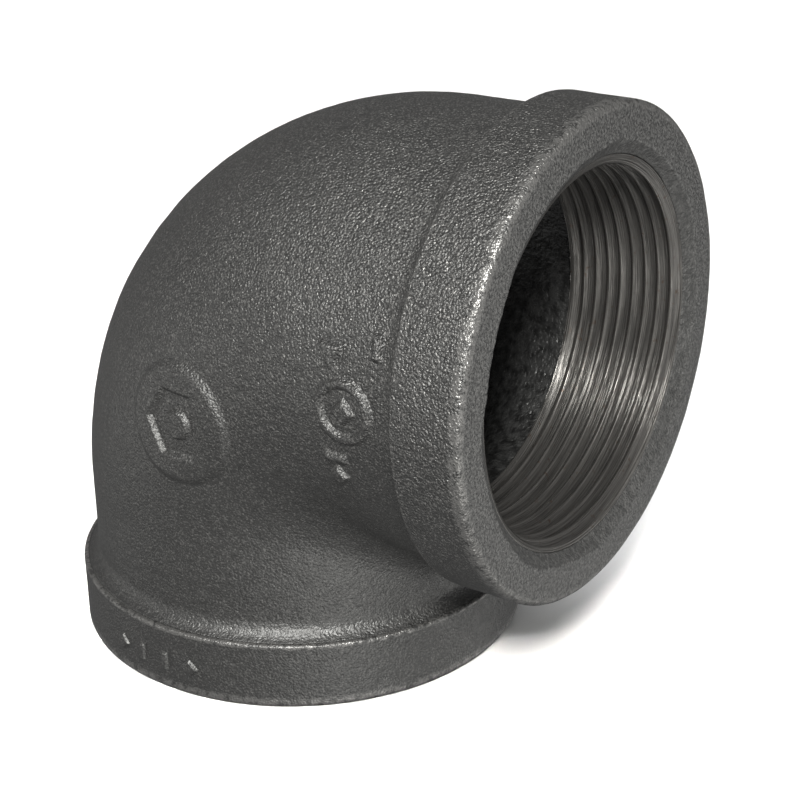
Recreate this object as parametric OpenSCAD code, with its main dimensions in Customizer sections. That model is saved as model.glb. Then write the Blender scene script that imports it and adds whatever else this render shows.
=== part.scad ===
// A 90 degree pipe elbow of malleable iron, with an internal pipe thread in both mouths.
// The lower mouth opens downwards with its face's centre at the origin, and the side mouth opens
// towards +X. The object is one casting: each node is a region of it, and they meet face to face.

/* [Ends] */
// Distance from each mouth's face to the other mouth's axis
centre_to_end = 57.15; // [56.5:0.05:58.5]
// Outside diameter of the reinforcing band round each mouth
band_d = 76.4; // [76:0.1:77.4]
// Length of each band along its axis
band_length = 11.6; // [11:0.1:12.2]
// Rounding of the band's edge at the mouth's face
face_edge_r = 0.9; // [0.4:0.1:1.2]
// Rounding of the band's edge at its shoulder
shoulder_edge_r = 0.5; // [0.3:0.05:0.6]

/* [Bend] */
// Outside diameter of the wall between the bands
wall_d = 70.8; // [70:0.1:71.4]
// Diameter of the cast waterway behind the threads
waterway_d = 61.2; // [60.6:0.1:61.4]
// Radius of the bend's centre line
bend_r = 31; // [30.9:0.1:32.5]
// Radius of the hollow fillet between the wall and each band
fillet_r = 3.4; // [2.8:0.1:4]

/* [Thread] */
// Threads per inch of the pipe thread
threads_per_inch = 11.5; // [11.5:0.5:14]
// Diameter of the bore at the crests of the thread
crest_d = 56.6; // [56.2:0.1:56.8]
// Width of the flat on each crest
crest_flat = 0.25; // [0.2:0.05:0.4]
// Diameter of the countersink at the mouth's face
mouth_d = 64.6; // [64:0.1:66]
// Depth at which the countersink reaches the crests
countersink_depth = 2.3; // [2:0.1:2.6]
// Depth of the last crest below the mouth's face
thread_depth = 20.8; // [20.2:0.1:21.6]

/* [Raised marks] */
// Height of the marks on the cheek
cheek_mark_height = 0.5; // [0.3:0.05:0.6]
// Diameter of the round pad
roundel_d = 18.8; // [17:0.2:19.6]
// Diameter of the small ring
ring_d = 9.6; // [8.6:0.1:9.8]
// Width of the small ring's line
ring_line = 0.9; // [0.6:0.1:1.2]
// Height of the marks on the lower band
band_mark_height = 0.4; // [0.2:0.05:0.5]

/* [Hidden] */
$fn = 96;
mm_per_inch = 25.4;
band_r = band_d / 2;
wall_r = wall_d / 2;
waterway_r = waterway_d / 2;
mouth_r = mouth_d / 2;
crest_r = crest_d / 2;
leg_length = centre_to_end - bend_r;
pitch = mm_per_inch / threads_per_inch;
groove_width = pitch - crest_flat;
// Angle between the two flanks of a groove, and between each flank and the mouth's axis
flank_angle = 60;
groove_depth = groove_width / 2 * tan(flank_angle);
groove_count = floor((thread_depth - countersink_depth - crest_flat) / pitch);
// Depth of the countersink's cone where it crosses the waterway's radius
cone_depth = countersink_depth * (mouth_r - waterway_r) / (mouth_r - crest_r);
// Where the fillet meets the band's shoulder, and the centre of its arc
shoulder_flat = 0.3;
crease_r = band_r - shoulder_edge_r - shoulder_flat;
fillet_x = wall_r + fillet_r;
fillet_rise = sqrt(fillet_r ^ 2 - (fillet_x - crease_r) ^ 2);
fillet_end_angle = 180 + atan2(fillet_rise, fillet_x - crease_r);
arc_steps = 8;
overshoot = 1;
// Where the marks on the cheek stand, as x and z
roundel_at = [4.8, centre_to_end - 10.3];
ring_at = [bend_r + 5.1, centre_to_end - 0.7];
triangle_at = [bend_r + 2.6, centre_to_end + 7.6];
bar_at = [bend_r + 3, centre_to_end - 8.4];
lozenge_at = [bend_r + 3, centre_to_end - 11.6];
tick_at = [bend_r + 10.3, centre_to_end + 9.6];
cast_grey = [0.21, 0.21, 0.22];
steel_grey = [0.56, 0.54, 0.51];

// Points of an arc about a centre, both ends included
function arc(centre, r, from, to) =
    [for (i = [0:arc_steps]) centre + r * [cos(from + (to - from) * i / arc_steps),
                                           sin(from + (to - from) * i / arc_steps)]];

// Moves what is drawn about the lower mouth's axis, with z as its depth, to the side mouth
module at_side_mouth() {
    translate([centre_to_end, 0, centre_to_end])
        rotate([0, -90, 0])
            children();
}

// A quarter turn of the bend, from the lower leg's end to the side leg's end
module quarter_bend() {
    translate([bend_r, 0, leg_length])
        rotate([90, 0, 180])
            rotate_extrude(angle = 90)
                children();
}

// The solid outside of one leg, from the band's shoulder to the start of the bend
module leg_outside() {
    rotate_extrude()
        polygon(concat([[0, band_length], [crease_r, band_length]],
                       arc([fillet_x, band_length + fillet_rise], fillet_r, fillet_end_angle, 180),
                       [[wall_r, leg_length], [0, leg_length]]));
}

// The solid outside of the bend, cut off at the axis that it turns about
module bend_outside() {
    quarter_bend()
        intersection() {
            translate([bend_r, 0])
                circle(r = wall_r);
            translate([0, -wall_r - overshoot])
                square([bend_r + wall_r + overshoot, 2 * wall_r + 2 * overshoot]);
        }
}

// The waterway in one leg, past the band's shoulder so that it cuts through
module leg_waterway() {
    translate([0, 0, band_length - overshoot])
        cylinder(h = leg_length - band_length + overshoot, r = waterway_r);
}

module bend_waterway() {
    quarter_bend()
        translate([bend_r, 0])
            circle(r = waterway_r);
}

module band() {
    rotate_extrude()
        polygon(concat([[waterway_r, cone_depth], [mouth_r, 0]],
                       arc([band_r - face_edge_r, face_edge_r], face_edge_r, -90, 0),
                       arc([band_r - shoulder_edge_r, band_length - shoulder_edge_r],
                           shoulder_edge_r, 0, 90),
                       [[waterway_r, band_length]]));
}

// The corner points of one groove, which starts at this depth
function groove(depth) = [[crest_r, depth],
                          [crest_r + groove_depth, depth + groove_width / 2],
                          [crest_r, depth + groove_width]];

// The grooves are rings one pitch apart, in place of one helix
module thread() {
    rotate_extrude()
        polygon(concat([[waterway_r, cone_depth], [crest_r, countersink_depth]],
                       [for (i = [0:groove_count - 1])
                           each groove(countersink_depth + crest_flat + i * pitch)],
                       [[crest_r, thread_depth], [waterway_r, thread_depth]]));
}

// The skin of the given height over the bend's outside, clear of the axis that it turns about
module bend_skin(height) {
    quarter_bend()
        intersection() {
            translate([bend_r, 0])
                difference() {
                    circle(r = wall_r + height);
                    circle(r = wall_r);
                }
            translate([bend_r / 2, -2 * wall_r])
                square([4 * wall_r, 4 * wall_r]);
        }
}

// The skin of the given height round a leg of this radius, between two depths
module leg_skin(r, height, from, to) {
    translate([0, 0, from])
        difference() {
            cylinder(h = to - from, r = r + height);
            translate([0, 0, -overshoot])
                cylinder(h = to - from + 2 * overshoot, r = r);
        }
}

// A prism through the cheek on the -Y side, centred on this x and z
module through_cheek(at) {
    translate([at[0], 0, at[1]])
        rotate([90, 0, 0])
            linear_extrude(height = wall_r + cheek_mark_height + overshoot)
                children();
}

module elbow_body() {
    color(cast_grey)
        difference() {
            union() {
                leg_outside();
                at_side_mouth()
                    leg_outside();
                bend_outside();
            }
            leg_waterway();
            at_side_mouth()
                leg_waterway();
            bend_waterway();
        }
}

module side_band() {
    color(cast_grey)
        at_side_mouth()
            band();
}

module lower_band() {
    color(cast_grey)
        band();
}

module side_thread() {
    color(steel_grey)
        at_side_mouth()
            thread();
}

module lower_thread() {
    color(steel_grey)
        thread();
}

// A round pad on the bend's cheek, with a hexagonal recess round a small boss
module raised_roundel() {
    hexagon_d = 0.62 * roundel_d;
    boss_d = 0.24 * roundel_d;
    color(cast_grey)
        intersection() {
            bend_skin(cheek_mark_height);
            through_cheek(roundel_at) {
                difference() {
                    circle(d = roundel_d);
                    circle(d = hexagon_d, $fn = 6);
                }
                circle(d = boss_d);
            }
        }
}

// The cheek's skin over the side leg, where the ring and the ticks stand, clear of the fillet
module side_leg_skin() {
    clearance = 0.1;
    at_side_mouth()
        leg_skin(wall_r, cheek_mark_height, band_length + fillet_rise + clearance, leg_length);
}

module raised_ring() {
    lozenge = 2.6;
    color(cast_grey)
        intersection() {
            side_leg_skin();
            through_cheek(ring_at) {
                difference() {
                    circle(d = ring_d);
                    circle(d = ring_d - 2 * ring_line);
                }
                rotate([0, 0, 45])
                    square([lozenge, lozenge], center = true);
            }
        }
}

// A triangle above the ring, a bar and a lozenge below it, and one tick beside the band
module raised_ticks() {
    triangle_d = 4.4;
    bar = [3.6, 1.1];
    lozenge = 2.2;
    tick = [0.9, 3.3];
    color(cast_grey)
        intersection() {
            side_leg_skin();
            union() {
                through_cheek(triangle_at)
                    rotate([0, 0, -90])
                        circle(d = triangle_d, $fn = 3);
                through_cheek(bar_at)
                    square(bar, center = true);
                through_cheek(lozenge_at)
                    rotate([0, 0, 45])
                        square([lozenge, lozenge], center = true);
                through_cheek(tick_at)
                    square(tick, center = true);
            }
        }
}

// Two lozenges with two bars between them, on the lower band under the cheek
module band_ticks() {
    lozenge = 2;
    bar = [0.9, 3];
    height = 5.4;
    half_height = 2;
    first_angle = -13;
    angle_step = 7.3;
    color(cast_grey)
        intersection() {
            leg_skin(band_r, band_mark_height, height - half_height, height + half_height);
            for (i = [0:3])
                rotate([90, 0, first_angle + angle_step * i])
                    translate([0, height, 0])
                        linear_extrude(height = band_r + overshoot)
                            if (i == 0 || i == 3)
                                rotate([0, 0, 45])
                                    square([lozenge, lozenge], center = true);
                            else
                                square(bar, center = true);
        }
}

elbow_body();
side_band();
lower_band();
side_thread();
lower_thread();
raised_roundel();
raised_ring();
raised_ticks();
band_ticks();
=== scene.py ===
# The looks of a black malleable-iron pipe elbow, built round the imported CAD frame.
# Shapes are worked out in millimetres and stored in metres. The lower mouth's face is centred on the
# origin, the side mouth opens towards +X, and the bend lies in the plane Y = 0.
import math

import bpy
import numpy as np
from mathutils import Matrix, Vector, noise


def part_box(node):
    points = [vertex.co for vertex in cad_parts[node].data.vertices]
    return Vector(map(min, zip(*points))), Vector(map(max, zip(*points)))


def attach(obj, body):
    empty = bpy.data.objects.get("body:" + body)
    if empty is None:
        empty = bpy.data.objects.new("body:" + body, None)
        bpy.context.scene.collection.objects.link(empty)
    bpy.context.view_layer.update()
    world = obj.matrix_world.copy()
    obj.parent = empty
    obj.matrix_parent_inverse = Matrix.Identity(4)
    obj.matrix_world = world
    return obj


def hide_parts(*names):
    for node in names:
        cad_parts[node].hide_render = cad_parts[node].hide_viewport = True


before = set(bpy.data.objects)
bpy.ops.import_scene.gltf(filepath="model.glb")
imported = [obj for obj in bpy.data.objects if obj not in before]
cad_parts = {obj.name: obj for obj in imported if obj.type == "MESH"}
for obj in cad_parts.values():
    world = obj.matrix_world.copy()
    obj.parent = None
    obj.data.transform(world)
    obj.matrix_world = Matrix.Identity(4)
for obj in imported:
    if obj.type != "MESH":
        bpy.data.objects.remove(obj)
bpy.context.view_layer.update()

MM = 0.001


def box_mm(node):
    return [np.array(corner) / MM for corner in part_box(node)]


# Sizes from the frame, in millimetres
BAND_R, BAND_LENGTH = box_mm("lower_band")[1][[0, 2]]
CENTRE_TO_END = box_mm("side_band")[1][0]
CREASE_R = -box_mm("elbow_body")[0][0]
WATERWAY_R, THREAD_DEPTH = box_mm("lower_thread")[1][[0, 2]]

# Sizes that the frame's boxes don't give, in millimetres
BEND_R = 31
FILLET_R = 3.4
WALL_R = 35.4
FACE_EDGE_R = 1.1
SHOULDER_EDGE_R = 0.5

# The inside corner of the bend: its fillet, how softly that grows into the bend's own inside
# radius, and how far from the bend's axis it may reach
CROTCH_R = 6
CROTCH_SOFTNESS = 3
CROTCH_REACH = 20

# The cast chamfer round each mouth: its outer radius, and the (radius, depth) of its foot
MOUTH_R = 32.3
CHAMFER_FOOT = (30.1, 1.3)

# The pipe thread. TAPER is the change of radius with depth.
PITCH = 25.4 / 11.5
TAPER = 1 / 32
CREST_R = 28.5
CREST_FLAT = 0.3
COUNTERSINK_DEPTH = 2.3
COUNTERSINK_SLOPE = 1.664

# Unevenness of the cast skin, as (height, size) of each kind of lump
LUMPS = ((0.10, 12), (0.06, 4.5), (0.035, 1.7))

# Places and sizes of the raised marks
ROUNDEL_AT = (4.8, CENTRE_TO_END - 10.3)
ROUNDEL_R = 9.4
RING_AT = (BEND_R + 5.1, CENTRE_TO_END - 0.7)
RING_R = 4.8
RING_LINE = 1.2
RING_LOZENGE = 2.6
TRIANGLE_AT = (BEND_R + 2.6, CENTRE_TO_END + 7.6)
TRIANGLE_R = 2.2
BAR_AT = (BEND_R + 3, CENTRE_TO_END - 8.4)
BAR = (3.6, 1.1)
LOZENGE_AT = (BEND_R + 3, CENTRE_TO_END - 11.6)
LOZENGE = 2.2
TICK_AT = (BEND_R + 10.3, CENTRE_TO_END + 9.6)
TICK = (1.3, 3.4)
CHEEK_MARK_HEIGHT = 0.75
BAND_LOZENGE = 2
BAND_BAR = (0.9, 3)
BAND_MARK_HEIGHT = 0.48

# Heights of the cast skin's fine grain and of the thread's tool marks, which are in the materials
PITS = 0.16
SAND = 0.24
GRIT = 0.13
MARKS = 0.17

# Sizes worked out from those
LEG = CENTRE_TO_END - BEND_R
FILLET_X = WALL_R + FILLET_R
FILLET_RISE = math.sqrt(FILLET_R ** 2 - (FILLET_X - CREASE_R) ** 2)
FILLET_END = BAND_LENGTH + FILLET_RISE
PIVOT = np.array([CENTRE_TO_END - BAND_LENGTH, 0, BAND_LENGTH])


# ---- Camera ----

CAMERA_ANGLES = (35.013, 23.512, -0.713)
CAMERA_TARGET = (17.718, 4.665, 39.337)
CAMERA_DISTANCE = 284.96
CAMERA_LENS = 77.22


def add_camera():
    """The photograph's view: a long lens from the front right, looking down on the elbow."""
    azimuth, elevation, roll = np.radians(CAMERA_ANGLES)
    target = Vector(CAMERA_TARGET) * MM
    distance = CAMERA_DISTANCE * MM
    level = math.cos(elevation)
    back = Vector((math.sin(azimuth) * level, -math.cos(azimuth) * level, math.sin(elevation)))
    right = Vector((math.cos(azimuth), math.sin(azimuth), 0))
    up = back.cross(right)
    tilted_right = math.cos(roll) * right + math.sin(roll) * up
    tilted_up = back.cross(tilted_right)
    data = bpy.data.cameras.new("camera")
    data.lens = CAMERA_LENS
    data.clip_start = 0.01
    camera = bpy.data.objects.new("camera", data)
    axes = Matrix((tilted_right, tilted_up, back)).transposed().to_4x4()
    camera.matrix_world = Matrix.Translation(target + back * distance) @ axes
    bpy.context.scene.collection.objects.link(camera)
    bpy.context.scene.camera = camera


# ---- Mesh helpers ----

SHIFT_PER_SEED = Vector((17.3, 5.1, 11.7))


def noise_at(points, cell, seed):
    """Smooth noise from about -1 to 1 at each point, with lumps of this size."""
    shift = SHIFT_PER_SEED * (seed + 1)
    return np.array([noise.noise(Vector(point) / cell + shift) for point in points])


def smooth(value):
    """Runs smoothly from 0 to 1 as value does."""
    value = np.clip(value, 0, 1)
    return value * value * (3 - 2 * value)


def line(start, end, step):
    """Points from start up to, but not including, end."""
    start, end = np.array(start, float), np.array(end, float)
    count = max(1, round(np.linalg.norm(end - start) / step))
    return [start + (end - start) * i / count for i in range(count)]


def arc(centre, radius, first, last, count):
    """Points of an arc, without its last one. Angles are in degrees."""
    angles = np.radians(first + (last - first) * np.arange(count) / count)
    return [np.array(centre) + radius * np.array([math.cos(a), math.sin(a)]) for a in angles]


def grid_faces(rows, columns, rows_wrap, columns_wrap, first=0):
    """Quads over a grid of points, numbered row by row."""
    row = np.arange(rows if rows_wrap else rows - 1)[:, None]
    column = np.arange(columns if columns_wrap else columns - 1)[None, :]
    next_row, next_column = (row + 1) % rows, (column + 1) % columns
    corners = [row * columns + column, row * columns + next_column,
               next_row * columns + next_column, next_row * columns + column]
    return np.stack([c.ravel() for c in corners], axis=1) + first


def signed_volume(points, faces):
    """Six times the volume inside these quads, below zero where they face inwards."""
    a, b, c, d = (points[faces[:, i]] for i in range(4))
    return np.einsum("ij,ij->", a, np.cross(b, c)) + np.einsum("ij,ij->", a, np.cross(c, d))


def add_piece(name, points, faces, material, slot, *nodes):
    """Makes a closed mesh from points in millimetres, facing outwards, and puts it in the frame."""
    if signed_volume(points, faces) < 0:
        faces = faces[:, ::-1]
    mesh = bpy.data.meshes.new(name)
    mesh.from_pydata((points * MM).tolist(), [], faces.tolist())
    mesh.polygons.foreach_set("use_smooth", np.ones(len(faces), bool))
    mesh.materials.append(material)
    mesh.update()
    piece = bpy.data.objects.new(name, mesh)
    bpy.context.scene.collection.objects.link(piece)
    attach(piece, "root")
    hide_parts(*nodes)
    return piece


def closed_ring(name, grid, material, slot, node):
    """A piece from a grid of points that wraps both ways."""
    rows, columns = grid.shape[:2]
    faces = grid_faces(rows, columns, True, True)
    return add_piece(name, grid.reshape(-1, 3), faces, material, slot, node)


def closed_patches(name, patches, material, slot, node):
    """One piece from several closed pads, each a top grid and a bottom grid of points."""
    points, faces, first = [], [], 0
    for top, bottom in patches:
        rows, columns = top.shape[:2]
        size = rows * columns
        points += [top.reshape(-1, 3), bottom.reshape(-1, 3)]
        lid = grid_faces(rows, columns, False, False, first)
        index = np.arange(size).reshape(rows, columns)
        rim = np.concatenate([index[0, :-1], index[:-1, -1], index[-1, :0:-1], index[:0:-1, 0]])
        after = np.roll(rim, -1)
        side = np.stack([after, rim, rim + size, after + size], axis=1) + first
        faces += [lid, lid[:, ::-1] + size, side]
        first += 2 * size
    return add_piece(name, np.concatenate(points), np.concatenate(faces), material, slot, node)


# ---- The body's surface, as a field that is negative inside ----

def leg_outline(depth):
    """Outside radius of a leg at this depth behind its mouth, with the fillet up to the band."""
    rise = np.clip(FILLET_END - depth, 0, FILLET_RISE)
    return FILLET_X - np.sqrt(FILLET_R ** 2 - rise ** 2)


def swept_tube(points, leg_radius, bend_radius):
    """How far points are outside the bent tube, and from the line that its bend turns about."""
    x, y, z = points.T
    low = np.hypot(x, y) - leg_radius(z)
    side = np.hypot(y, z - CENTRE_TO_END) - leg_radius(CENTRE_TO_END - x)
    from_turn = np.hypot(x - BEND_R, z - LEG)
    bend = np.hypot(from_turn - BEND_R, y) - bend_radius
    ahead = x > BEND_R
    below = z < LEG
    swept = np.where(ahead, np.where(below, np.minimum(low, side), side),
                     np.where(below, low, bend))
    return swept, from_turn


def outside_field(points):
    """The outer skin, with the inside corner of the bend filled to a soft fillet.

    In each plane of constant y the two legs meet in a corner, which gets an arc with its centre as
    far from both legs' axes. Towards the cheeks it grows into the bend's own inside radius.
    """
    swept, from_turn = swept_tube(points, leg_outline, WALL_R)
    x, y, z = points.T
    reach = np.sqrt(np.maximum(WALL_R ** 2 - y ** 2, 0))
    bend = BEND_R - reach
    radius = (bend + CROTCH_R + np.sqrt((bend - CROTCH_R) ** 2 + CROTCH_SOFTNESS ** 2)) / 2
    centre = reach + radius
    along_x = x - centre
    along_z = CENTRE_TO_END - centre - z
    fillet = np.max([radius - np.hypot(along_x, along_z), along_x, along_z,
                     from_turn - CROTCH_REACH], axis=0)
    return np.minimum(swept, fillet)


def waterway_field(points):
    """The waterway's wall, which has the same radius in the legs and the bend."""
    return swept_tube(points, lambda depth: WATERWAY_R, WATERWAY_R)[0]


def first_crossing(start, direction, reach, field):
    """Distance along each ray, from inside, at which it leaves the field's surface."""
    halvings = 24
    inside = np.zeros(len(direction))
    outside = np.full(len(direction), float(reach))
    for _ in range(halvings):
        middle = (inside + outside) / 2
        within = field(start + middle[:, None] * direction) < 0
        inside = np.where(within, middle, inside)
        outside = np.where(within, outside, middle)
    return inside


def field_normals(points, field):
    """Directions straight out of the field's surface."""
    step = 0.02
    slope = np.stack([field(points + step * axis) - field(points - step * axis)
                      for axis in np.eye(3)], axis=1)
    return slope / np.linalg.norm(slope, axis=1)[:, None]


# Longer than any ray from inside the elbow to its skin
RAY_LENGTH = 1.5 * WALL_R


def fan(angles, columns, field):
    """A grid over the bent tube: one section for each angle about the pivot by the inside corner.

    The sections are centred near the tube's axis, which is further from the pivot half way round.
    """
    extra = 5.1
    turn = 2 * math.pi * np.arange(columns) / columns
    rows = []
    for angle in angles:
        outward = np.array([-math.cos(angle), 0, math.sin(angle)])
        to_axis = CENTRE_TO_END - BAND_LENGTH + extra * math.sin(2 * angle) ** 2
        centre = PIVOT + to_axis * outward
        direction = np.outer(np.cos(turn), outward) + np.outer(np.sin(turn), (0, 1, 0))
        reach = first_crossing(centre, direction, RAY_LENGTH, field)
        rows.append(centre + reach[:, None] * direction)
    return np.array(rows)


def fan_angles(count):
    """Angles from 0 to 90 degrees, closer together towards both ends, where the fillets are."""
    crowding = 0.6
    share = np.linspace(0, 1, count)
    return math.pi / 2 * (share - crowding * np.sin(2 * math.pi * share) / (2 * math.pi))


def behind_band(points):
    """Runs from 0 at either band to 1 a little way behind it."""
    fade = 2
    depth = np.minimum(points[:, 2], CENTRE_TO_END - points[:, 0])
    return smooth((depth - BAND_LENGTH) / fade)


def cast_lumps(points, seed=0):
    """Height of the cast skin's unevenness."""
    return sum(height * noise_at(points, size, seed + i)
               for i, (height, size) in enumerate(LUMPS))


def skin_height(points):
    """Height of the body's skin, which is level where it meets the bands."""
    return cast_lumps(points) * behind_band(points)


def sunk_lumps(points, seed):
    """Height of a band's unevenness, shifted so that hardly any of it is above the CAD's surface."""
    shift, share = 0.14, 0.6
    return (cast_lumps(points, seed) - shift) * share


# ---- The pieces ----

def roughened(grid, height, field):
    """The grid with each point moved out of the field's surface by height(points)."""
    points = grid.reshape(-1, 3)
    points = points + height(points)[:, None] * field_normals(points, field)
    return points.reshape(grid.shape)


def waterway_height(points):
    """Height of the waterway's wall, which is rougher than the outside."""
    times_rougher, seed = 1.5, 5
    return times_rougher * cast_lumps(points, seed) * behind_band(points)


def add_body(material, inside):
    """The bent wall: its outer skin and its waterway, joined behind each band."""
    outer_rows, inner_rows, columns = 226, 45, 360
    outer = fan(fan_angles(outer_rows), columns, outside_field)
    outer = roughened(outer, skin_height, outside_field)
    inner = fan(fan_angles(inner_rows)[::-1], columns, waterway_field)
    inner = roughened(inner, waterway_height, waterway_field)
    grid = np.concatenate([outer, inner])
    body = closed_ring("cast_body", grid, material, "cast_skin", "elbow_body")
    body.data.materials.append(inside)
    of_inside = np.arange(len(body.data.polygons)) >= outer_rows * columns
    body.data.polygons.foreach_set("material_index", of_inside.astype(np.int32))


def at_lower_mouth(radius, turn, depth):
    """Points this far from the lower mouth's axis, at this turn, this deep behind its face."""
    return np.stack([radius * np.cos(turn), radius * np.sin(turn), depth], axis=-1)


def at_side_mouth(radius, turn, depth):
    """The same at the side mouth."""
    return np.stack([CENTRE_TO_END - depth, radius * np.sin(turn),
                     CENTRE_TO_END + radius * np.cos(turn)], axis=-1)


def band_profile():
    """(radius, depth) round the band's section, from the cast chamfer's foot out to its back."""
    fine, coarse = 0.2, 0.28
    under_fillet = CREASE_R - 0.3
    face_edge = BAND_R - FACE_EDGE_R
    shoulder_edge = BAND_R - SHOULDER_EDGE_R
    edge_depth = BAND_LENGTH - SHOULDER_EDGE_R
    points = line(CHAMFER_FOOT, (MOUTH_R, 0), fine)
    points += line((MOUTH_R, 0), (face_edge, 0), coarse)
    points += arc((face_edge, FACE_EDGE_R), FACE_EDGE_R, -90, 0, 8)
    points += line((BAND_R, FACE_EDGE_R), (BAND_R, edge_depth), coarse)
    points += arc((shoulder_edge, edge_depth), SHOULDER_EDGE_R, 0, 90, 6)
    points += line((shoulder_edge, BAND_LENGTH), (under_fillet, BAND_LENGTH), fine)
    hidden = [(under_fillet, BAND_LENGTH), (WATERWAY_R, BAND_LENGTH), (WATERWAY_R, 6),
              (WATERWAY_R, 1.9), (CHAMFER_FOOT[0] + 0.08, CHAMFER_FOOT[1] + 0.25)]
    return np.array(points), np.array(hidden, float)


def profile_normals(profile):
    """Directions straight out of each point of a profile, as (radius, depth)."""
    tangent = np.gradient(profile, axis=0)
    normal = np.stack([tangent[:, 1], -tangent[:, 0]], axis=1)
    return normal / np.linalg.norm(normal, axis=1)[:, None]


def rim_wander(turn, seed):
    """How far the chamfer's outer edge wanders in and out. It is most ragged on the +Y side.

    The noise is read round a small circle. Each wave is its height and its size on that circle.
    """
    circle_r, calmest = 10, 0.2
    broad, small_waves = (0.9, 3.5), ((0.5, 1.1), (0.35, 0.35))
    circle = np.stack([circle_r * np.cos(turn), circle_r * np.sin(turn), 0 * turn], axis=1)
    ragged = calmest + (1 - calmest) * smooth(0.6 + 0.6 * np.sin(turn))
    wander = broad[0] * noise_at(circle, broad[1], seed)
    for height, size in small_waves:
        wander = wander + ragged * height * noise_at(circle, size, seed)
    return wander


def with_back(place, seen, hidden, turn):
    """A closed grid from the seen rows and the few rows of (radius, depth) behind them."""
    back = place(hidden[:, :1] + 0 * turn, turn + 0 * hidden[:, :1], hidden[:, 1:] + 0 * turn)
    return np.concatenate([seen, back])


def add_band(name, node, place, material, seed):
    """The band round a mouth, with its face, its ragged cast chamfer and its rounded edges."""
    columns = 600
    tear_height, tear_size = 0.1, 1.2
    seen, hidden = band_profile()
    turn = 2 * math.pi * np.arange(columns)[None, :] / columns
    normal = profile_normals(seen)
    chamfer_width = MOUTH_R - CHAMFER_FOOT[0]
    near_rim = np.clip(1 - np.abs(seen[:, 0] - MOUTH_R) / chamfer_width, 0, 1)
    radius = seen[:, :1] + near_rim[:, None] * rim_wander(turn[0], seed)
    depth = seen[:, 1:] + 0 * turn
    points = place(radius, turn, depth).reshape(-1, 3)
    lumps = sunk_lumps(points, seed).reshape(radius.shape)
    on_chamfer = (seen[:, 1] < CHAMFER_FOOT[1]) & (seen[:, 0] < MOUTH_R + 0.1)
    tears = tear_height * noise_at(points, tear_size, seed + len(LUMPS)).reshape(radius.shape)
    out = np.minimum(lumps + on_chamfer[:, None] * tears, 0)
    skin = place(radius + out * normal[:, :1], turn, depth + out * normal[:, 1:])
    grid = with_back(place, skin, hidden, turn)
    return closed_ring(name, grid, material, "cast_skin", node)


def soft_positive(value, softness):
    """The value where it is well above zero, and zero where it is well below, with a soft bend."""
    return (value + np.sqrt(value ** 2 + softness ** 2)) / 2


def thread_radius(turn, depth):
    """Radius of the tapered right-hand thread, cut away by the countersink at the mouth.

    The flanks slope at 60 degrees to the axis. The crests and the roots are a little rounded, and
    the last groove runs out at the thread's inner end.
    """
    crest_softness, root_softness, root_fill = 0.25, 0.3, 0.2
    runout = 1.5 * PITCH
    crest = CREST_R - depth * TAPER
    half_groove = (PITCH - CREST_FLAT) / 2
    from_groove = np.abs((depth / PITCH - turn / (2 * math.pi)) % 1 - 0.5) * PITCH
    groove = soft_positive(math.sqrt(3) * (half_groove - from_groove), crest_softness)
    deepest = math.sqrt(3) * half_groove - root_fill
    groove = deepest - soft_positive(deepest - groove, root_softness)
    groove = groove * smooth((THREAD_DEPTH - depth) / runout)
    countersink = CREST_R + (COUNTERSINK_DEPTH - depth) * COUNTERSINK_SLOPE
    return np.maximum(crest + groove, countersink)


def add_thread(name, node, place, material, seed):
    """The machined countersink and thread inside a mouth."""
    columns, step = 480, 0.1
    unevenness = 0.015
    turn = 2 * math.pi * np.arange(columns)[None, :] / columns
    first = CHAMFER_FOOT[1] + step
    depth = np.arange(first, THREAD_DEPTH, step)[:, None]
    radius = thread_radius(turn, depth)
    points = place(radius, turn, depth + 0 * turn).reshape(-1, 3)
    radius = radius + unevenness * noise_at(points, 1.5, seed).reshape(radius.shape)
    seen = place(radius, turn, depth + 0 * turn)
    outer = WATERWAY_R - 0.05
    hidden = np.array([(CREST_R - THREAD_DEPTH * TAPER, THREAD_DEPTH), (outer, THREAD_DEPTH),
                       (outer, 10), (outer, 2), (CHAMFER_FOOT[0] + 0.03, first + 0.15)])
    grid = with_back(place, seen, hidden, turn)
    return closed_ring(name, grid, material, "machined_thread", node)


# ---- Raised marks ----

# Each outline is a distance in the mark's own plane, and is negative inside the mark

def disc(u, v, radius):
    return np.hypot(u, v) - radius


def bar(u, v, size):
    return np.maximum(np.abs(u) - size[0] / 2, np.abs(v) - size[1] / 2)


def lozenge(u, v, side):
    return (np.abs(u) + np.abs(v)) / math.sqrt(2) - side / 2


def regular(u, v, sides, radius, turn):
    """A regular polygon of this outer radius, with a corner at this angle in degrees."""
    flat = radius * math.cos(math.pi / sides)
    angles = np.radians(turn) + math.pi * (2 * np.arange(sides) + 1) / sides
    return np.max([u * math.cos(a) + v * math.sin(a) - flat for a in angles], axis=0)


def relief(outside, height, edge):
    """Height of a mark over the skin. It sinks under the skin just past the mark's soft edge."""
    sink, sink_width = 0.25, 0.7
    rise = height * smooth(0.5 - outside / edge)
    return rise - sink * smooth((outside - edge / 2) / sink_width)


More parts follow.
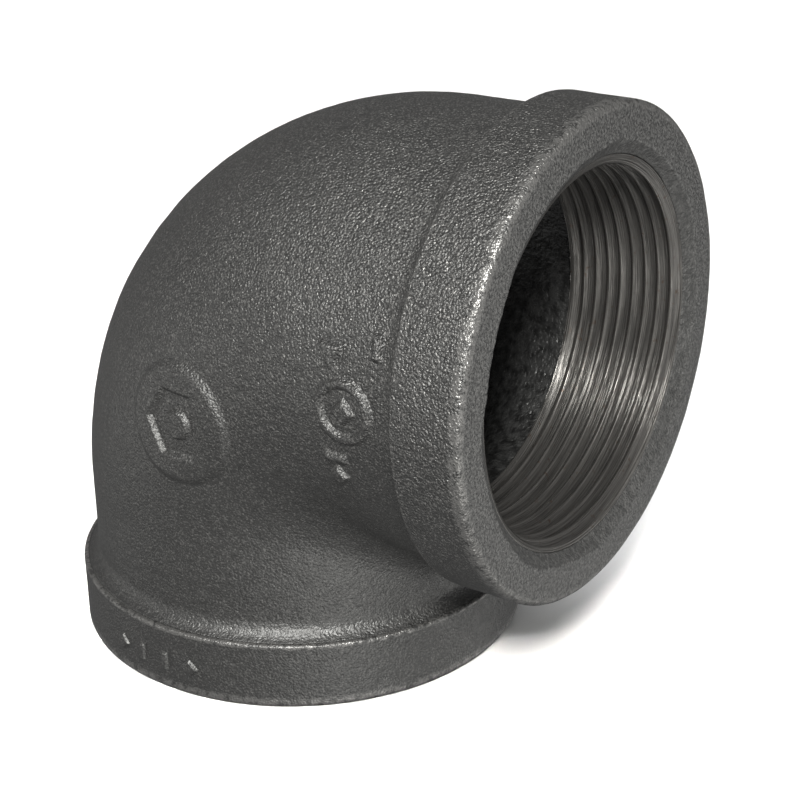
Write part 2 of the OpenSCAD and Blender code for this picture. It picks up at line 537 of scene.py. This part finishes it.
def cheek_pad(at, half_width, half_height, outline):
    """A patch of relief on the bend's -Y cheek, centred on this x and z."""
    step, edge = 0.11, 0.8
    columns, rows = int(2 * half_width / step), int(2 * half_height / step)
    u = np.linspace(-half_width, half_width, columns)
    v = np.linspace(-half_height, half_height, rows)
    u, v = (g.ravel() for g in np.meshgrid(u, v, indexing="ij"))
    start = np.stack([at[0] + u, 0 * u, at[1] + v], axis=1)
    direction = np.tile((0.0, -1.0, 0.0), (len(u), 1))
    reach = first_crossing(start, direction, RAY_LENGTH, outside_field)
    skin = start + reach[:, None] * direction
    normal = field_normals(skin, outside_field)
    height = skin_height(skin) + relief(outline(u, v), CHEEK_MARK_HEIGHT, edge)
    top = skin + height[:, None] * normal
    return top.reshape(columns, rows, 3), (skin - normal).reshape(columns, rows, 3)


def roundel_outline(u, v):
    """A pad whose rim is soft and wide, with a sharp hexagonal recess round a small boss."""
    recess_share, boss_share, rim_softness = 0.62, 0.24, 2.2
    recess = regular(u, v, 6, recess_share * ROUNDEL_R, 0)
    pad = np.maximum(disc(u, v, ROUNDEL_R) / rim_softness, -recess)
    return np.minimum(pad, disc(u, v, boss_share * ROUNDEL_R))


def ring_outline(u, v):
    """A ring round a lozenge."""
    ring = np.abs(disc(u, v, RING_R - RING_LINE / 2)) - RING_LINE / 2
    return np.minimum(ring, lozenge(u, v, RING_LOZENGE))


def add_cheek_marks(material):
    """The round pad, the small ring and the ticks round it."""
    pad = cheek_pad(ROUNDEL_AT, 11, 11, roundel_outline)
    closed_patches("roundel", [pad], material, "cast_skin", "raised_roundel")
    ring = cheek_pad(RING_AT, 6.3, 6.3, ring_outline)
    closed_patches("ring", [ring], material, "cast_skin", "raised_ring")
    ticks = [
        cheek_pad(TRIANGLE_AT, 3.6, 3.6, lambda u, v: regular(u, v, 3, TRIANGLE_R, -90)),
        cheek_pad(BAR_AT, 3.2, 2, lambda u, v: bar(u, v, BAR)),
        cheek_pad(LOZENGE_AT, 2.8, 2.8, lambda u, v: lozenge(u, v, LOZENGE)),
        cheek_pad(TICK_AT, 1.8, 2.9, lambda u, v: bar(u, v, TICK)),
    ]
    closed_patches("ticks", ticks, material, "cast_skin", "raised_ticks")


def band_pad(angle, outline, seed):
    """A patch of relief on the lower band, at this angle in degrees from -Y."""
    height, half, count, edge = 5.4, 2.5, 50, 0.4
    across = np.linspace(-half, half, count)
    u, v = np.meshgrid(across, across, indexing="ij")
    turn = math.radians(angle - 90) + u / BAND_R
    points = at_lower_mouth(BAND_R + 0 * u, turn, height + v).reshape(-1, 3)
    lumps = np.minimum(sunk_lumps(points, seed).reshape(u.shape), 0)
    rise = relief(outline(u, v), BAND_MARK_HEIGHT, edge)
    top = at_lower_mouth(BAND_R + lumps + rise, turn, height + v)
    return top, at_lower_mouth(BAND_R - 1 + 0 * u, turn, height + v)


def add_band_marks(material, seed):
    """Two bars between two lozenges, round the lower band."""
    first_angle, angle_step = -13, 7.3
    outlines = [
        lambda u, v: lozenge(u, v, BAND_LOZENGE),
        lambda u, v: bar(u, v, BAND_BAR),
        lambda u, v: bar(u, v, BAND_BAR),
        lambda u, v: lozenge(u, v, BAND_LOZENGE),
    ]
    pads = [band_pad(first_angle + angle_step * i, outline, seed)
            for i, outline in enumerate(outlines)]
    closed_patches("band_marks", pads, material, "cast_skin", "band_ticks")


# ---- Materials ----

def new_material(name):
    """A material, its node tree and its shader."""
    material = bpy.data.materials.new(name)
    material.use_nodes = True
    tree = material.node_tree
    return material, tree, tree.nodes["Principled BSDF"]


def node(tree, kind, **values):
    """Adds a node. A value is a socket to link from, or a number or colour to set."""
    made = tree.nodes.new(kind)
    for name, value in values.items():
        if name.startswith("set_"):
            setattr(made, name[4:], value)
            continue
        socket = made.inputs[int(name[1:])] if name[1:].isdigit() else made.inputs[name]
        if isinstance(value, bpy.types.NodeSocket):
            tree.links.new(value, socket)
        else:
            socket.default_value = value
    return made


def grain(tree, vector, size, detail, roughness=0.5):
    """Noise whose lumps are this size in millimetres, from 0 to 1."""
    made = node(tree, "ShaderNodeTexNoise", Vector=vector, Scale=1 / (size * MM), Detail=detail,
                Roughness=roughness)
    return made.outputs["Fac"]


def remap(tree, value, low, high, to_low=0, to_high=1):
    """A number that goes from to_low to to_high as the value goes from low to high."""
    made = node(tree, "ShaderNodeMapRange", i0=value)
    for name, number in (("From Min", low), ("From Max", high), ("To Min", to_low),
                         ("To Max", to_high)):
        made.inputs[name].default_value = number
    return made.outputs["Result"]


def blend(tree, factor, first, second):
    """A colour that goes from first to second as factor goes from 0 to 1."""
    made = node(tree, "ShaderNodeMix", set_data_type="RGBA")
    for index, value in ((0, factor), (6, first), (7, second)):
        if isinstance(value, bpy.types.NodeSocket):
            tree.links.new(value, made.inputs[index])
        else:
            made.inputs[index].default_value = value
    return made.outputs[2]


def mix_number(tree, factor, first, second):
    """A number that goes from first to second as factor goes from 0 to 1."""
    made = node(tree, "ShaderNodeMix", i0=factor, i2=first, i3=second)
    return made.outputs[0]


def math_node(tree, operation, first, second):
    made = node(tree, "ShaderNodeMath", i0=first, i1=second, set_operation=operation)
    return made.outputs[0]


def product(tree, first, second):
    return math_node(tree, "MULTIPLY", first, second)


def grey(value, warm=0.0):
    return (value * (1 + warm), value, value * (1 - warm), 1)


def cast_grey(value):
    return grey(value, 0.02)


def cells(tree, vector, size):
    """Distance from the nearest of many scattered points, this many millimetres apart."""
    made = node(tree, "ShaderNodeTexVoronoi", Vector=vector, Scale=1 / (size * MM))
    return made.outputs["Distance"]


def mouth_place(tree, where, along, centre):
    """Depth behind a mouth and distance from its axis, in metres."""
    shifted = node(tree, "ShaderNodeVectorMath", set_operation="SUBTRACT", i0=where, i1=centre)
    parts = node(tree, "ShaderNodeSeparateXYZ", Vector=shifted.outputs[0])
    across = parts.outputs["Z" if along == "X" else "X"]
    flat = node(tree, "ShaderNodeCombineXYZ", X=across, Y=parts.outputs["Y"])
    radius = node(tree, "ShaderNodeVectorMath", set_operation="LENGTH", i0=flat.outputs[0])
    depth = parts.outputs[along]
    if along == "X":
        depth = product(tree, depth, -1.0)
    return depth, radius.outputs["Value"]


def overlay(tree, look, mask, **changes):
    """The look with these values where the mask is 1."""
    changed = dict(look)
    for name, value in changes.items():
        mix = blend if name == "colour" else mix_number
        changed[name] = mix(tree, mask, look[name], value)
    return changed


def plain_look(tree, where, fine, medium, calm_z, lively_z):
    """The plain cast skin. It sparkles less and its grain is flatter low down.

    "metal" is the share of bare metal, which is high in small specks, and "sandy" is the strength
    of the fine grain.
    """
    parts = node(tree, "ShaderNodeSeparateXYZ", Vector=where)
    high = remap(tree, parts.outputs["Z"], calm_z * MM, lively_z * MM)
    specks = remap(tree, grain(tree, where, 0.3, 0.5), 0.57, 0.68, 0, 0.85)
    specks = product(tree, specks, remap(tree, high, 0, 1, 0.3, 1))
    patches = remap(tree, grain(tree, where, 14, 3), 0.35, 0.65)
    colour = blend(tree, patches, cast_grey(0.012), cast_grey(0.018))
    colour = blend(tree, remap(tree, fine, 0.3, 0.75), colour, cast_grey(0.026))
    colour = blend(tree, specks, colour, cast_grey(0.30))
    return {"colour": colour, "metal": specks,
            "roughness": remap(tree, medium, 0.3, 0.7, 0.42, 0.54),
            "sandy": remap(tree, high, 0, 1, 0.5, 1.3)}


def worn_edges(tree, where, depth, radius, shoulder_wear):
    """A mask of the patches where a band's outer edges are worn to the metal."""
    shoulder = BAND_LENGTH - 0.8
    outermost = remap(tree, radius, (BAND_R - 1.5) * MM, (BAND_R - 0.9) * MM)
    face_edge = remap(tree, depth, 1.2 * MM, 2.2 * MM, 1, 0)
    shoulder_edge = remap(tree, depth, shoulder * MM, (shoulder + 0.3) * MM, 0, shoulder_wear)
    edges = math_node(tree, "ADD", face_edge, shoulder_edge)
    worn = remap(tree, grain(tree, where, 1.2, 3, 0.7), 0.40, 0.60)
    return product(tree, product(tree, outermost, edges), worn)


def band_look(tree, where, along, centre, look, shoulder_wear):
    """The look changed on a mouth's ground face, its torn dark chamfer and the worn edges."""
    depth, radius = mouth_place(tree, where, along, centre)
    face = remap(tree, depth, 0.2 * MM, 0.5 * MM, 1, 0)
    powder = remap(tree, grain(tree, where, 0.42, 1.5, 0.6), 0.40, 0.62)
    ground = blend(tree, powder, cast_grey(0.010), cast_grey(0.110))
    look = overlay(tree, look, face, colour=ground, metal=0.0, sandy=0.5)
    chamfer = product(tree, remap(tree, radius, (MOUTH_R + 1.7) * MM, (MOUTH_R + 2.1) * MM, 1, 0),
                      remap(tree, depth, 0.1 * MM, 0.3 * MM))
    tears = remap(tree, grain(tree, where, 0.8, 3, 0.7), 0.40, 0.66)
    torn = blend(tree, tears, cast_grey(0.012), cast_grey(0.070))
    look = overlay(tree, look, chamfer, colour=torn, roughness=0.7, metal=0.0, sandy=0.9)
    worn = worn_edges(tree, where, depth, radius, shoulder_wear)
    return overlay(tree, look, worn, colour=cast_grey(0.28), roughness=0.34, metal=0.8, sandy=0.6)


def cast_skin(name, along=None, centre=None):
    """Black as-cast iron: a fine sandy grain under a thin oily film, with what a band adds to it.

    The lower band is more worn at its shoulder, and the side band is less calm low down.
    """
    material, tree, shader = new_material(name)
    where = node(tree, "ShaderNodeTexCoord").outputs["Object"]
    fine = grain(tree, where, 0.37, 1)
    medium = grain(tree, where, 1.4, 2)
    domes = cells(tree, where, 0.40)
    calm_z, lively_z, shoulder_wear = (5, 75, 0.3) if along == "X" else (40, 80, 1)
    look = plain_look(tree, where, fine, medium, calm_z, lively_z)
    if along:
        look = band_look(tree, where, along, centre, look, shoulder_wear)
    tree.links.new(look["colour"], shader.inputs["Base Color"])
    tree.links.new(look["roughness"], shader.inputs["Roughness"])
    tree.links.new(look["metal"], shader.inputs["Metallic"])
    pits = node(tree, "ShaderNodeBump", Strength=1.0, Distance=PITS * MM, Height=medium)
    sand = node(tree, "ShaderNodeBump", Strength=look["sandy"], Distance=SAND * MM, Height=fine,
                Normal=pits.outputs["Normal"])
    grit = node(tree, "ShaderNodeBump", Strength=look["sandy"], Distance=GRIT * MM, Height=domes,
                Normal=sand.outputs["Normal"], set_invert=True)
    tree.links.new(grit.outputs["Normal"], shader.inputs["Normal"])
    shader.inputs["IOR"].default_value = 2.0
    return material


def inside_skin():
    """The waterway's wall: sooty, with coarser grains than the outside."""
    material, tree, shader = new_material("iron_inside")
    where = node(tree, "ShaderNodeTexCoord").outputs["Object"]
    coarse = grain(tree, where, 1.5, 1)
    fine = grain(tree, where, 0.6, 1)
    colour = blend(tree, remap(tree, coarse, 0.35, 0.65), grey(0.014), grey(0.050))
    tree.links.new(colour, shader.inputs["Base Color"])
    shader.inputs["Roughness"].default_value = 0.38
    lumps = node(tree, "ShaderNodeBump", Strength=1.0, Distance=PITS * MM, Height=coarse)
    sand = node(tree, "ShaderNodeBump", Strength=1.0, Distance=SAND * MM, Height=fine,
                Normal=lumps.outputs["Normal"])
    tree.links.new(sand.outputs["Normal"], shader.inputs["Normal"])
    shader.inputs["IOR"].default_value = 1.9
    return material


def tool_marks(tree, where, along, depth, radius):
    """Noise of fine lines that run a long way round the mouth's axis."""
    width, stretch = 0.16, 0.014
    parts = node(tree, "ShaderNodeSeparateXYZ", Vector=where)
    across = parts.outputs["Z" if along == "X" else "X"]
    ring = node(tree, "ShaderNodeCombineXYZ", X=depth, Y=product(tree, across, stretch),
                Z=product(tree, parts.outputs["Y"], stretch))
    marks = node(tree, "ShaderNodeTexNoise", set_noise_dimensions="4D", Vector=ring.outputs[0],
                 W=radius, Scale=1 / (width * MM), Detail=2)
    return marks.outputs["Fac"]


def painted_root_shade(tree, depth, radius):
    """A mask of painted shade in the roots of the thread, below the countersink."""
    below_crest = math_node(tree, "ADD", radius, product(tree, depth, TAPER))
    root = remap(tree, below_crest, (CREST_R + 0.2) * MM, (CREST_R + 1.3) * MM, 0, 0.38)
    below_countersink = remap(tree, depth, (COUNTERSINK_DEPTH - 0.1) * MM,
                              (COUNTERSINK_DEPTH + 0.3) * MM)
    return product(tree, root, below_countersink)


def turned_iron(name, along, centre):
    """Bare cut iron, with tool marks, painted shade in the thread's roots and faint specks of rust.
    """
    material, tree, shader = new_material(name)
    where = node(tree, "ShaderNodeTexCoord").outputs["Object"]
    depth, radius = mouth_place(tree, where, along, centre)
    marks = tool_marks(tree, where, along, depth, radius)
    patches = grain(tree, where, 5, 3)
    metal = blend(tree, remap(tree, marks, 0.3, 0.7), grey(0.08, 0.04), grey(0.24, 0.04))
    rust = product(tree, remap(tree, grain(tree, where, 0.9, 3), 0.60, 0.72),
                   remap(tree, patches, 0.45, 0.65, 0, 0.7))
    colour = blend(tree, rust, metal, (0.10, 0.055, 0.03, 1))
    # Painted shade: the thread's roots are darkened as if shade fell in the grooves
    colour = blend(tree, painted_root_shade(tree, depth, radius), colour, grey(0.03, 0.04))
    tree.links.new(colour, shader.inputs["Base Color"])
    shader.inputs["Metallic"].default_value = 0.75
    tree.links.new(remap(tree, patches, 0.3, 0.7, 0.30, 0.40), shader.inputs["Roughness"])
    bump = node(tree, "ShaderNodeBump", Strength=1.0, Distance=MARKS * MM, Height=marks)
    tree.links.new(bump.outputs["Normal"], shader.inputs["Normal"])
    return material


def floor_paint():
    material, tree, shader = new_material("floor")
    shader.inputs["Base Color"].default_value = grey(0.86)
    shader.inputs["Roughness"].default_value = 0.8
    return material


# ---- Studio ----

# Azimuth and elevation in degrees, distance and size in metres, and power in watts. Azimuth 0 is
# the +X side and 90 the +Y side.
SOFTBOXES = {
    "key": (-55.5, 36, 0.45, 0.07, 2.2),
    "front": (-80, 38, 0.8, 0.4, 1.5),
    "left": (-150, -5, 0.8, 0.4, 0.5),
    "below_front": (-32, -25, 0.8, 0.4, 1.3),
    "below_right": (38, -25, 0.8, 0.4, 0.7),
}
WARM_WHITE = (1, 0.997, 0.955)
LIT_POINT = (10, 0, 45)
WORLD_STRENGTH = 0.19


def add_floor():
    """A plain pale floor. It lets through the soft lights that stand in for its bounce."""
    half = 3
    corners = [(-half, -half, 0), (half, -half, 0), (half, half, 0), (-half, half, 0)]
    mesh = bpy.data.meshes.new("floor")
    mesh.from_pydata(corners, [], [(0, 1, 2, 3)])
    mesh.materials.append(floor_paint())
    floor = bpy.data.objects.new("floor", mesh)
    bpy.context.scene.collection.objects.link(floor)
    floor.visible_diffuse = False
    floor.visible_glossy = False
    floor.visible_shadow = False


def add_softbox(name, azimuth, elevation, distance, size, power):
    """A square area light that faces the elbow."""
    data = bpy.data.lights.new(name, "AREA")
    data.size = size
    data.energy = power
    data.color = WARM_WHITE
    light = bpy.data.objects.new(name, data)
    azimuth, elevation = math.radians(azimuth), math.radians(elevation)
    level = math.cos(elevation)
    away = Vector((math.cos(azimuth) * level, math.sin(azimuth) * level, math.sin(elevation)))
    target = Vector(LIT_POINT) * MM
    light.matrix_world = (Matrix.Translation(target + away * distance)
                          @ away.to_track_quat("Z", "Y").to_matrix().to_4x4())
    bpy.context.scene.collection.objects.link(light)


def add_wash():
    """An even light from overhead that falls on the floor alone, so that it stays pale."""
    data = bpy.data.lights.new("wash", "SUN")
    data.energy = 3.0
    data.angle = math.radians(60)
    wash = bpy.data.objects.new("wash", data)
    bpy.context.scene.collection.objects.link(wash)
    lit = bpy.data.collections.new("lit_by_wash")
    lit.objects.link(bpy.data.objects["floor"])
    wash.light_linking.receiver_collection = lit


def add_studio():
    """An even world, the softboxes, the floor and its own light."""
    world = bpy.data.worlds.new("world")
    world.use_nodes = True
    background = world.node_tree.nodes["Background"]
    background.inputs["Color"].default_value = (1, 1, 1, 1)
    background.inputs["Strength"].default_value = WORLD_STRENGTH
    bpy.context.scene.world = world
    bpy.context.scene.view_settings.view_transform = "Standard"
    for name, placing in SOFTBOXES.items():
        add_softbox(name, *placing)
    add_floor()
    add_wash()


# The axis along which each mouth opens, and the centre of its face in metres
LOWER_MOUTH = ("Z", (0, 0, 0))
SIDE_MOUTH = ("X", (CENTRE_TO_END * MM, 0, CENTRE_TO_END * MM))
LOWER_SEED, SIDE_SEED = 20, 40

add_camera()
iron = cast_skin("black_iron")
add_body(iron, inside_skin())
add_band("lower_rim", "lower_band", at_lower_mouth, cast_skin("iron_lower_band", *LOWER_MOUTH),
         LOWER_SEED)
add_band("side_rim", "side_band", at_side_mouth, cast_skin("iron_side_band", *SIDE_MOUTH),
         SIDE_SEED)
add_thread("lower_pipe_thread", "lower_thread", at_lower_mouth,
           turned_iron("turned_iron_lower", *LOWER_MOUTH), LOWER_SEED)
add_thread("side_pipe_thread", "side_thread", at_side_mouth,
           turned_iron("turned_iron_side", *SIDE_MOUTH), SIDE_SEED)
add_cheek_marks(iron)
add_band_marks(iron, LOWER_SEED)
add_studio()

bpy.context.view_layer.update()
